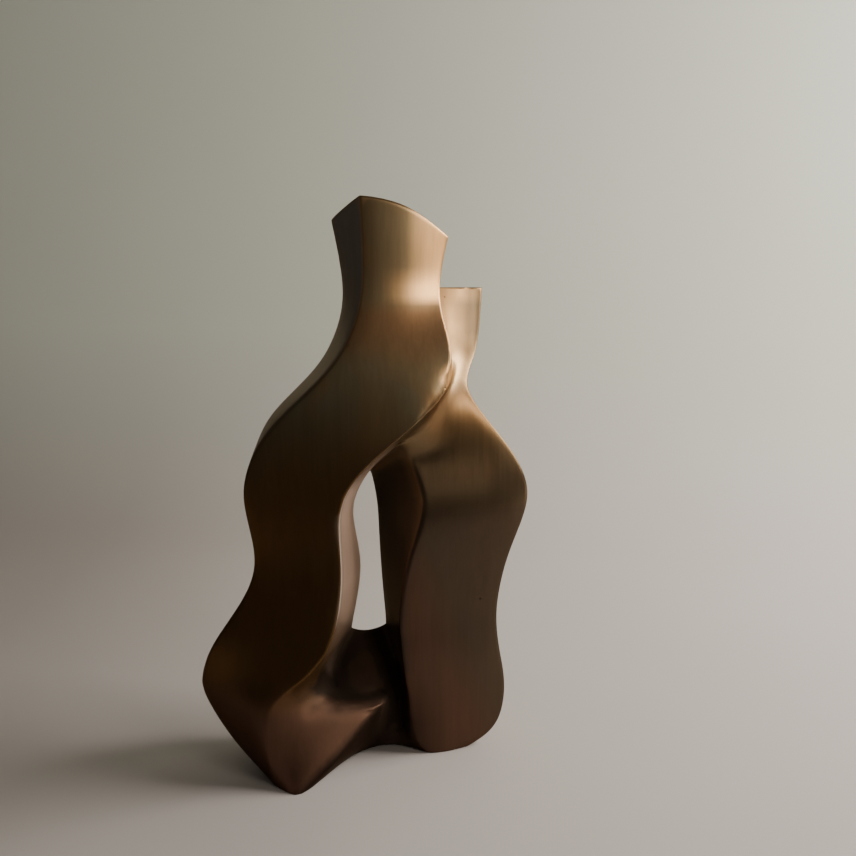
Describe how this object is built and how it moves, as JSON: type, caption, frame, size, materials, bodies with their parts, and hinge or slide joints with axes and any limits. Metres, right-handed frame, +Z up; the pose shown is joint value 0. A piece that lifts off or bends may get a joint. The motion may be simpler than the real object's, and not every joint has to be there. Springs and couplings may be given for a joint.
{
  "type": "abstract metal sculpture",
  "caption": "Cast bronze table sculpture: a tall and a short wavy limb lean together round an upright window and share a common foot; an ornament that stands by its own weight.",
  "frame": {"origin": "bottom centre of the piece: the middle of its bounding box, on the surface it stands on", "axes": "+Z up along the limbs, +X to the viewer's right towards the short limb, -Y towards the viewer in front"},
  "size_m": [0.2106, 0.0992, 0.3602],
  "materials": {
    "patinated_bronze": "satin brown patina over cast bronze, fine brushed streaks, lighter rubbed edges"
  },
  "bodies": {
    "root": {"sculpture": "patinated_bronze"}
  },
  "joints": []
}
